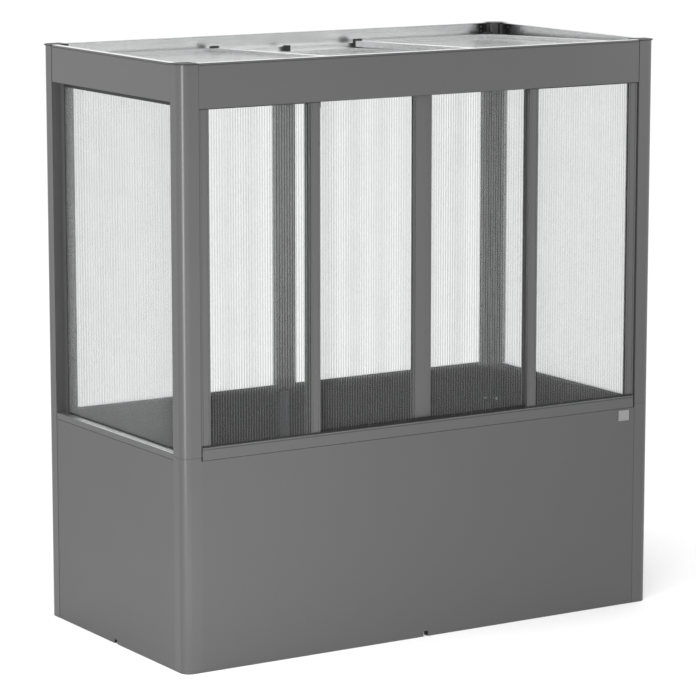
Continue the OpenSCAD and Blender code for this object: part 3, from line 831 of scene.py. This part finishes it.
@dataclass
class CornerPosts:
    """The four posts, each in a lower and an upper length, with a cap on top."""

    palette: Palette
    corner_radius: float = 0.035
    wall: float = 0.003
    slot_centre: float = 0.044
    slot_mouth: float = 0.008
    slot_width: float = 0.015
    slot_depth: float = 0.006
    slot_back: float = 0.002
    end_soft: float = 0.0009
    arc_steps: int = 28

    def half_outline(self, leg: float) -> Loop:
        """The outline up the face at x = leg, from its foot to its head."""
        face, back = leg - self.wall, leg - self.wall - self.slot_depth
        low, high = self.slot_centre - self.slot_width / 2, self.slot_centre + self.slot_width / 2
        near, far = self.slot_centre - self.slot_mouth / 2, self.slot_centre + self.slot_mouth / 2
        return [(leg, 0.0), (leg, near), (face, near), (face, low), (back, low), (back, high),
                (face, high), (face, far), (leg, far)]

    def half_hollow(self, leg: float) -> Loop:
        """The hollow's outline up the same face."""
        face = leg - self.wall
        back = face - self.slot_depth - self.slot_back
        low = self.slot_centre - self.slot_width / 2 - self.slot_back
        high = self.slot_centre + self.slot_width / 2 + self.slot_back
        return [(face, self.wall), (face, low), (back, low), (back, high), (face, high)]

    def section(self, leg: float) -> tuple[Loop, Loop]:
        """Outline and hollow of a post whose rounded corner is at the origin."""
        up, inside = self.half_outline(leg), self.half_hollow(leg)
        centre = (self.corner_radius, self.corner_radius)
        outline = up + [(leg, leg)] + [(y, x) for x, y in reversed(up)]
        outline += arc(centre, self.corner_radius, 180, 270, self.arc_steps)
        hollow = inside + [(leg - self.wall, leg - self.wall)] + [(y, x) for x, y in reversed(inside)]
        hollow += arc(centre, self.corner_radius - self.wall, 180, 270, self.arc_steps)
        return outline, hollow

    def stand(self, mesh: bmesh.types.BMesh, side: tuple[float, float], at: tuple[float, float]) -> None:
        """Moves a post drawn at the origin to its corner.

        Args:
            mesh: The post's mesh.
            side: -1 or 1 for left or right, and for front or back.
            at: The corner that its outer faces share.
        """
        turn = Matrix.Diagonal((-side[0], -side[1], 1.0, 1.0))
        bmesh.ops.transform(mesh, matrix=Matrix.Translation((at[0], at[1], 0.0)) @ turn, verts=mesh.verts)
        bmesh.ops.recalc_face_normals(mesh, faces=mesh.faces)

    def post(self, node: str) -> bpy.types.Object:
        """Makes one length of post in the place of its node."""
        low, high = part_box(node)
        side = (-1.0 if high.x < 0 else 1.0, -1.0 if high.y < 0 else 1.0)
        corner = (low.x if side[0] < 0 else high.x, low.y if side[1] < 0 else high.y)
        outline, hollow = self.section(high.x - low.x)
        mesh = prism(outline, [hollow], low.z, high.z, self.end_soft)
        self.stand(mesh, side, corner)
        piece = mesh_piece(f"{node}_profile", finish_mesh(mesh, node))
        flatten_faces(piece)
        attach(piece, body_of(node))
        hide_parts(node)
        self.palette.dress(piece, "grey_coat_profile")
        return piece

    def cap(self, name: str, side: tuple[float, float], low: Vector, high: Vector) -> bpy.types.Object:
        """Makes the cap plate of one corner, inside the box of all caps."""
        post_low, post_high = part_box("post_front_left")
        leg = post_high.x - post_low.x
        over = post_low.x - low.x
        size = leg + over
        radius = self.corner_radius + over
        outline = [(size, 0.0), (size, size), (0.0, size)]
        outline += arc((radius, radius), radius, 180, 270, self.arc_steps)
        mesh = prism(outline, [], post_high.z, high.z, self.end_soft)
        self.stand(mesh, side, (low.x if side[0] < 0 else high.x, low.y if side[1] < 0 else high.y))
        piece = mesh_piece(name, finish_mesh(mesh, name))
        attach(piece, body_of("post_caps"))
        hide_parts("post_caps")
        self.palette.dress(piece, "black_moulding")
        return piece

    def build(self) -> list[bpy.types.Object]:
        """Makes the posts and caps."""
        nodes = [n for n in sorted(frame["nodes"]) if "post_" in n and n != "post_caps"]
        pieces = [self.post(node) for node in nodes]
        low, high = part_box("post_caps")
        for x, across in ((-1.0, "left"), (1.0, "right")):
            for y, along in ((-1.0, "front"), (1.0, "back")):
                pieces.append(self.cap(f"cap_{along}_{across}", (x, y), low, high))
        return pieces


def sheet_tree() -> bpy.types.NodeTree:
    """Geometry nodes of a twin-wall sheet: a ribbed section, pushed along its ribs."""
    tree = bpy.data.node_groups.new("twin_wall_sheet", "GeometryNodeTree")
    declare(tree, "INPUT", "Float", Width=1.0, Length=1.0, Thickness=0.008, Wall=0.0006, Rib=0.0005,
            Pitch=0.0105)
    declare(tree, "INPUT", "Rotation", "Turn")
    declare(tree, "INPUT", "Vector", "Place")
    declare(tree, "INPUT", "Material", "Wall material", "Rib material")
    declare(tree, "OUTPUT", "Geometry", "Geometry")
    graph = Graph(tree)
    given = graph.add("NodeGroupInput").outputs
    half_thick = graph.math("DIVIDE", given["Thickness"], 2.0)
    room = graph.math("SUBTRACT", given["Width"], given["Rib"])
    cells = graph.math("FLOOR", graph.math("DIVIDE", room, given["Pitch"]))
    columns = graph.math("MULTIPLY_ADD", cells, 2.0, 2.0)
    grid = graph.add("GeometryNodeMeshGrid", {"Vertices X": columns, "Vertices Y": 4})
    index = graph.add("GeometryNodeInputIndex").outputs[0]
    column = graph.math("FLOOR", graph.math("DIVIDE", index, 4.0))
    row = graph.math("MODULO", index, 4.0)
    rib_number = graph.math("FLOOR", graph.math("DIVIDE", column, 2.0))
    rib_side = graph.math("MODULO", column, 2.0)
    span = graph.math("MULTIPLY_ADD", cells, given["Pitch"], given["Rib"])
    half_span = graph.math("DIVIDE", span, 2.0)
    across_rib = graph.math("MULTIPLY", rib_side, given["Rib"])
    x = graph.math("MULTIPLY_ADD", rib_number, given["Pitch"], across_rib)
    x = graph.math("SUBTRACT", x, half_span)
    first = graph.math("GREATER_THAN", row, 0.5)
    second = graph.math("GREATER_THAN", row, 1.5)
    third = graph.math("GREATER_THAN", row, 2.5)
    inside = graph.math("SUBTRACT", given["Thickness"], graph.math("MULTIPLY", given["Wall"], 2.0))
    y = graph.math("MULTIPLY", graph.math("ADD", first, third), given["Wall"])
    y = graph.math("MULTIPLY_ADD", second, inside, y)
    y = graph.math("SUBTRACT", y, half_thick)
    section = graph.add(
        "GeometryNodeSetPosition", {"Geometry": grid.outputs["Mesh"], "Position": graph.vector(X=x, Y=y)})
    middle = graph.add("ShaderNodeSeparateXYZ", {0: graph.add("GeometryNodeInputPosition").outputs[0]})
    from_left = graph.math("ADD", middle.outputs["X"], half_span)
    in_cell = graph.math("GREATER_THAN", graph.math("MODULO", from_left, given["Pitch"]), given["Rib"])
    wall_starts = graph.math("SUBTRACT", half_thick, given["Wall"])
    in_middle = graph.math("LESS_THAN", graph.math("ABSOLUTE", middle.outputs["Y"]), wall_starts)
    hole = graph.math("MULTIPLY", in_cell, in_middle)
    ribbed = graph.add(
        "GeometryNodeDeleteGeometry", {"Geometry": section.outputs[0], "Selection": hole}, domain="FACE")
    pushed = graph.add("GeometryNodeExtrudeMesh", {
        "Mesh": ribbed.outputs[0], "Offset": graph.vector(Z=given["Length"]), "Offset Scale": 1.0,
        "Individual": False})
    end = graph.add("GeometryNodeFlipFaces", {0: ribbed.outputs[0]})
    both = graph.add("GeometryNodeJoinGeometry")
    tree.links.new(end.outputs[0], both.inputs[0])
    tree.links.new(pushed.outputs["Mesh"], both.inputs[0])
    closed = graph.add("GeometryNodeMergeByDistance", {"Geometry": both.outputs[0], "Distance": 0.00001})
    walled = graph.add(
        "GeometryNodeSetMaterial", {"Geometry": closed.outputs[0], "Material": given["Wall material"]})
    facing = graph.add("ShaderNodeSeparateXYZ", {0: graph.add("GeometryNodeInputNormal").outputs[0]})
    is_rib = graph.math("GREATER_THAN", graph.math("ABSOLUTE", facing.outputs["X"]), 0.5)
    dressed = graph.add("GeometryNodeSetMaterial", {
        "Geometry": walled.outputs[0], "Selection": is_rib, "Material": given["Rib material"]})
    half_down = graph.vector(Z=graph.math("MULTIPLY", given["Length"], -0.5))
    centred = graph.add("GeometryNodeTransform", {"Geometry": dressed.outputs[0], "Translation": half_down})
    stood = graph.add("GeometryNodeTransform", {
        "Geometry": centred.outputs[0], "Translation": given["Place"], "Rotation": given["Turn"]})
    real = graph.add("GeometryNodeRealizeInstances", {0: stood.outputs[0]})
    exit_node = graph.add("NodeGroupOutput")
    tree.links.new(real.outputs[0], exit_node.inputs[0])
    return tree


def run_tree(name: str, tree: bpy.types.NodeTree, values: dict) -> bpy.types.Object:
    """Runs a geometry node tree and keeps its result as a plain mesh.

    Args:
        name: The piece's name.
        tree: The node tree.
        values: The tree's named inputs.

    Returns:
        The piece, without the modifier.
    """
    piece = mesh_piece(name, bpy.data.meshes.new(name))
    modifier = piece.modifiers.new("nodes", "NODES")
    modifier.node_group = tree
    sockets = [item for item in tree.interface.items_tree if item.in_out == "INPUT"]
    identifiers = {socket.name: socket.identifier for socket in sockets}
    for key, value in values.items():
        modifier[identifiers[key]] = value
    plain = evaluated_mesh(piece)
    piece.modifiers.clear()
    piece.data = plain
    return piece


@dataclass
class TwinWallSheets:
    """The eleven twin-wall sheets of the walls, doors and roof."""

    palette: Palette
    wall: float = 0.0006
    rib: float = 0.0005
    pitch: float = 0.0105
    roof_fall: float = math.radians(2.0)

    def sheet(self, node: str, tree: bpy.types.NodeTree) -> bpy.types.Object:
        """Makes one sheet in the place of its node."""
        low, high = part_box(node)
        size, centre = high - low, (low + high) / 2
        if node.startswith("roof_"):
            flat = math.cos(self.roof_fall)
            slope = math.sin(self.roof_fall)
            thickness = (size.z - size.y * slope / flat) / (flat - slope * slope / flat)
            width, length = size.x, (size.y - thickness * slope) / flat
            turn = Euler((math.pi / 2 - self.roof_fall, 0.0, 0.0))
        elif size.x < size.y:
            width, length, thickness = size.y, size.z, size.x
            turn = Euler((0.0, 0.0, math.pi / 2))
        else:
            width, length, thickness = size.x, size.z, size.y
            turn = Euler((0.0, 0.0, 0.0))
        wall, rib = ("roof_sheet", "roof_rib") if node.startswith("roof_") else ("clear_sheet", "clear_rib")
        values = {"Width": width, "Length": length, "Thickness": thickness, "Wall": self.wall,
                  "Rib": self.rib, "Pitch": self.pitch, "Turn": turn, "Place": centre,
                  "Wall material": self.palette.materials[wall],
                  "Rib material": self.palette.materials[rib]}
        piece = run_tree(f"{node}_ribbed", tree, values)
        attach(piece, body_of(node))
        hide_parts(node)
        return piece

    def build(self) -> list[bpy.types.Object]:
        """Makes every sheet."""
        tree = sheet_tree()
        return [self.sheet(node, tree) for node in sorted(frame["nodes"]) if node.endswith("_sheet")]


def bristle_tree() -> bpy.types.NodeTree:
    """Geometry nodes of a brush seal: bristles in two staggered rows along X, on a backing."""
    tree = bpy.data.node_groups.new("brush_seal", "GeometryNodeTree")
    declare(tree, "INPUT", "Float", Length=1.0, Height=0.006, Thickness=0.0025, Pitch=0.0016)
    declare(tree, "INPUT", "Vector", "Place")
    declare(tree, "INPUT", "Material", "Material")
    declare(tree, "OUTPUT", "Geometry", "Geometry")
    graph = Graph(tree)
    given = graph.add("NodeGroupInput").outputs
    count = graph.math("FLOOR", graph.math("DIVIDE", given["Length"], given["Pitch"]))
    start = graph.vector(X=graph.math("MULTIPLY", given["Length"], -0.5))
    row = graph.add("GeometryNodeMeshLine", {
        "Count": count, "Start Location": start, "Offset": graph.vector(X=given["Pitch"])})
    index = graph.add("GeometryNodeInputIndex").outputs[0]
    stagger = graph.math("SUBTRACT", graph.math("MODULO", index, 2.0), 0.5)
    sideways = graph.math("MULTIPLY", stagger, graph.math("MULTIPLY", given["Thickness"], 0.5))
    staggered = graph.add(
        "GeometryNodeSetPosition", {"Geometry": row.outputs[0], "Offset": graph.vector(Y=sideways)})
    bristle = graph.add("GeometryNodeMeshCone", {
        "Vertices": 4, "Radius Top": graph.math("MULTIPLY", given["Pitch"], 0.3),
        "Radius Bottom": graph.math("MULTIPLY", given["Pitch"], 0.62), "Depth": given["Height"]})
    lean = graph.add("FunctionNodeRandomValue", {0: (-0.06, -0.05, -0.3), 1: (0.06, 0.05, 0.3), "Seed": 7},
                     data_type="FLOAT_VECTOR")
    placed = graph.add("GeometryNodeInstanceOnPoints", {
        "Points": staggered.outputs[0], "Instance": bristle.outputs[0], "Rotation": lean.outputs[0]})
    backing_size = graph.vector(
        X=given["Length"], Y=given["Thickness"], Z=graph.math("MULTIPLY", given["Height"], 0.35))
    backing = graph.add("GeometryNodeMeshCube", {"Size": backing_size})
    both = graph.add("GeometryNodeJoinGeometry")
    tree.links.new(placed.outputs[0], both.inputs[0])
    tree.links.new(backing.outputs["Mesh"], both.inputs[0])
    moved = graph.add("GeometryNodeTransform", {"Geometry": both.outputs[0], "Translation": given["Place"]})
    real = graph.add("GeometryNodeRealizeInstances", {0: moved.outputs[0]})
    dressed = graph.add(
        "GeometryNodeSetMaterial", {"Geometry": real.outputs[0], "Material": given["Material"]})
    exit_node = graph.add("NodeGroupOutput")
    tree.links.new(dressed.outputs[0], exit_node.inputs[0])
    return tree


@dataclass
class Seals:
    """Rubber gaskets round the fixed sheets and brush seals along the door tracks; the deep head strips and
    the brushes also stand as painted shade under the fascias and along the doors.
    """

    palette: Palette
    grip: float = 0.0115
    gasket_wide: float = 0.004
    gasket_proud: float = 0.0022
    head_strip_and_shade: float = 0.018
    brush_thick: float = 0.0022

    def strip(self, mesh: bmesh.types.BMesh, low: Vector, high: Vector) -> None:
        """Adds one round-edged strip of rubber to a mesh.

        Args:
            mesh: The gasket's mesh.
            low: The strip's lowest corner.
            high: Its highest corner.
        """
        made = bmesh.ops.create_cube(mesh, size=1.0)["verts"]
        bmesh.ops.scale(mesh, vec=high - low, verts=made)
        bmesh.ops.translate(mesh, vec=(low + high) / 2, verts=made)
        edges = list({edge for vertex in made for edge in vertex.link_edges})
        bmesh.ops.bevel(mesh, geom=edges, offset=0.0006, segments=2, affect="EDGES", profile=0.5)

    def gasket(self, node: str, sill: str, fascia: str) -> bpy.types.Object:
        """Makes the gasket round one fixed sheet, on both of its faces; its deep head strip is partly painted
        shade under the fascia.

        Args:
            node: The sheet.
            sill: The sill under it.
            fascia: The fascia over it.

        Returns:
            The piece.
        """
        low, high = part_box(node)
        thin = 0 if high.x - low.x < high.y - low.y else 1
        run = 1 - thin
        foot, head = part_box(sill)[1].z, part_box(fascia)[0].z
        inner = (low[run] + self.grip, high[run] - self.grip)
        mesh = bmesh.new()
        for face, side in ((low[thin], -1), (high[thin], 1)):
            across = sorted((face, face + side * self.gasket_proud))
            # the head strip runs deep under the fascia: partly gasket, partly painted shade
            spans = [(inner[0], inner[1], foot, foot + self.gasket_wide),
                     (inner[0], inner[1], head - self.head_strip_and_shade, head),
                     (inner[0], inner[0] + self.gasket_wide, foot, head),
                     (inner[1] - self.gasket_wide, inner[1], foot, head)]
            for start, end, bottom, top in spans:
                corner, far = Vector((0, 0, bottom)), Vector((0, 0, top))
                corner[thin], far[thin] = across
                corner[run], far[run] = start, end
                self.strip(mesh, corner, far)
        name = node.replace("_sheet", "_gasket")
        piece = mesh_piece(name, finish_mesh(mesh, name))
        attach(piece, "frame")
        self.palette.dress(piece, "black_rubber_and_shade")
        return piece

    def brush(self, name: str, tree: bpy.types.NodeTree, start: float, end: float, y: float, low: float,
              high: float) -> bpy.types.Object:
        """Makes one brush seal along X.

        Args:
            name: The piece's name.
            tree: The node tree of a brush.
            start: Its left end.
            end: Its right end.
            y: Its place front to back.
            low: Its lower edge.
            high: Its upper edge.

        Returns:
            The piece.
        """
        place = Vector(((start + end) / 2, y, (low + high) / 2))
        values = {"Length": end - start, "Height": high - low, "Thickness": self.brush_thick,
                  "Place": place, "Material": self.palette.materials["black_rubber_and_shade"]}
        piece = run_tree(name, tree, values)
        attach(piece, "frame")
        self.palette.dress(piece, "black_rubber_and_shade")
        return piece

    def brushes(self) -> list[bpy.types.Object]:
        """Makes the brushes over and under the doors, black lines that are partly brush seal and partly
        painted shade in the gaps there.
        """
        tree = bristle_tree()
        left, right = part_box("front_fascia")[0].x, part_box("front_fascia")[1].x
        inner_left, inner_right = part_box("door_1_stiles")[1].x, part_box("door_4_stiles")[0].x
        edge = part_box("front_fascia")[0].z
        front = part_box("door_1_stiles")[0].y - 0.0016
        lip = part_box("front_sill")[1].z
        between = (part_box("door_1_stiles")[1].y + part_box("door_2_stiles")[0].y) / 2
        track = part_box("door_2_rails")[0].z
        # heights set to the dark lines over and under the doors: brush seal, partly painted shade in the gaps
        deep, shallow, top = edge - 0.0065, edge - 0.003, edge + 0.003
        return [
            self.brush("head_brush_left", tree, left + 0.002, inner_left, front, deep, top),
            self.brush("head_brush_middle", tree, inner_left, inner_right, front, shallow, top),
            self.brush("head_brush_right", tree, inner_right, right - 0.002, front, deep, top),
            self.brush("sill_brush", tree, left + 0.006, right - 0.006, front, lip - 0.008, lip + 0.0026),
            self.brush("track_brush", tree, inner_left, inner_right, between, track + 0.012, lip + 0.001),
        ]

    def build(self) -> list[bpy.types.Object]:
        """Makes every gasket and brush."""
        sides = ("left", "right")
        pieces = [self.gasket(f"{wall}_sheet", f"{wall}_sill", f"{wall}_fascia") for wall in sides]
        pieces += [self.gasket(f"back_{side}_sheet", "back_sill", "back_fascia") for side in sides]
        return pieces + self.brushes()


# ---- studio ----


@dataclass
class Studio:
    """A pale floor, soft lights and the camera."""

    camera_place: tuple[float, float, float] = (-6.487, -10.287, 3.106)
    camera_pitch: float = 9.89
    camera_yaw: float = 32.18
    camera_lens: float = 172.6
    floor_size: float = 120.0
    sky: float = 1.12

    def camera(self) -> None:
        """Makes the camera and makes it the scene's."""
        data = bpy.data.cameras.new("camera")
        data.lens = self.camera_lens
        data.sensor_width = 36.0
        data.clip_end = 200.0
        camera = bpy.data.objects.new("camera", data)
        camera.location = self.camera_place
        tilt, yaw = math.radians(90 - self.camera_pitch), math.radians(-self.camera_yaw)
        camera.rotation_euler = Euler((tilt, 0.0, yaw))
        bpy.context.scene.collection.objects.link(camera)
        bpy.context.scene.camera = camera

    def light(self, name: str, at: tuple[float, float, float], aim: tuple[float, float, float],
              size: tuple[float, float], power: float, glossy: bool = False) -> None:
        """Adds one softbox.

        Args:
            name: The light's name.
            at: Where it hangs.
            aim: What it points at.
            size: Its width and height.
            power: Its power in watts.
            glossy: Whether shiny faces mirror it.
        """
        data = bpy.data.lights.new(name, "AREA")
        data.shape = "RECTANGLE"
        data.size, data.size_y = size
        data.energy = power
        lamp = bpy.data.objects.new(name, data)
        lamp.location = at
        lamp.rotation_euler = (Vector(aim) - Vector(at)).to_track_quat("-Z", "Y").to_euler()
        lamp.visible_camera = False
        lamp.visible_transmission = False
        lamp.visible_glossy = glossy
        bpy.context.scene.collection.objects.link(lamp)

    def floor(self) -> None:
        """Lays the floor."""
        mesh = bmesh.new()
        bmesh.ops.create_grid(mesh, x_segments=1, y_segments=1, size=self.floor_size / 2)
        floor = mesh_piece("floor", finish_mesh(mesh, "floor"))
        paint = PaleFloor("pale_floor", Slot.COATED_SHEET, (0.93, 0.93, 0.93), 0.9)
        floor.data.materials.append(paint.build())

    def build(self) -> None:
        """Makes the whole studio."""
        scene = bpy.context.scene
        world = bpy.data.worlds.new("sky")
        world.use_nodes = True
        background = world.node_tree.nodes["Background"]
        background.inputs["Color"].default_value = (1.0, 1.0, 1.0, 1.0)
        background.inputs["Strength"].default_value = self.sky
        scene.world = world
        scene.view_settings.view_transform = "Standard"
        scene.cycles.max_bounces = 24
        scene.cycles.transmission_bounces = 24
        scene.cycles.transparent_max_bounces = 64
        self.camera()
        self.floor()
        self.light("corner", (-3.8, -2.7, 1.3), (-1.0, -0.5, 1.1), (0.4, 2.2), 55.0, True)
        self.light("front", (-1.2, -2.6, 1.1), (-0.6, -0.5, 0.9), (1.2, 1.2), 55.0)
        self.light("side", (-3.0, 0.3, 2.3), (-1.0, 0.0, 1.9), (1.6, 0.8), 36.0)
        self.light("fascia", (1.5, -1.3, 2.2), (1.05, -0.5, 2.05), (0.5, 0.3), 9.0)


def main() -> None:
    """Builds the cold frame's looks, class by class."""
    logging.basicConfig(level=logging.INFO, format="%(message)s")
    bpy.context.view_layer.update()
    Studio().build()
    palette = Palette()
    pieces = PlanterBase(palette).build()
    pieces += CornerPosts(palette).build()
    pieces += Walls(palette).build()
    pieces += TwinWallSheets(palette).build()
    pieces += Seals(palette).build()
    pieces += SlidingDoors(palette).build()
    pieces += SlidingRoof(palette).build()
    palette.dress(frame["nodes"]["frame_bolts"], "zinc_plate")


if __name__ == "__main__":
    main()
